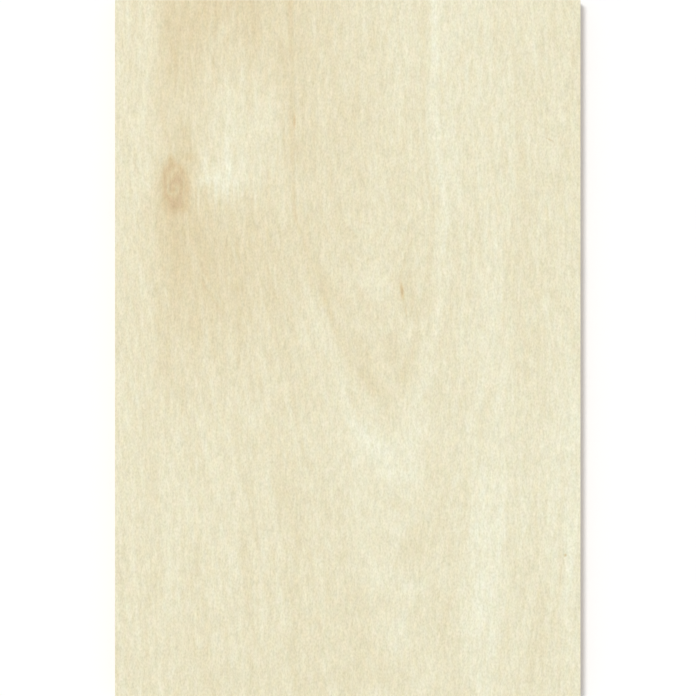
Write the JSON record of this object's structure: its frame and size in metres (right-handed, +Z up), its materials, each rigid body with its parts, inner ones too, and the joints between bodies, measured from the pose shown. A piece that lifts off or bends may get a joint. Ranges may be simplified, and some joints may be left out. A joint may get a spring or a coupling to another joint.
{
  "type": "faced particle board panel",
  "caption": "Flat rectangular particle board panel with a pale wood-grain facing on both sides and bare sawn edges, for shelves and furniture.",
  "frame": {"origin": "middle of the underside, on the surface that the panel lies on", "axes": "+X across the grain along the 400 mm side, +Y along the grain and the 600 mm side, +Z up through the 18 mm thickness, out of the visible face"},
  "size_m": [0.4, 0.6, 0.018],
  "materials": {
    "wood_grain_facing": "satin pale maple facing, crown-cut figure along the length",
    "sawn_chip_edge": "matt bare chips, sawn square"
  },
  "bodies": {
    "root": {"particle_board": "wood_grain_facing"}
  },
  "joints": []
}
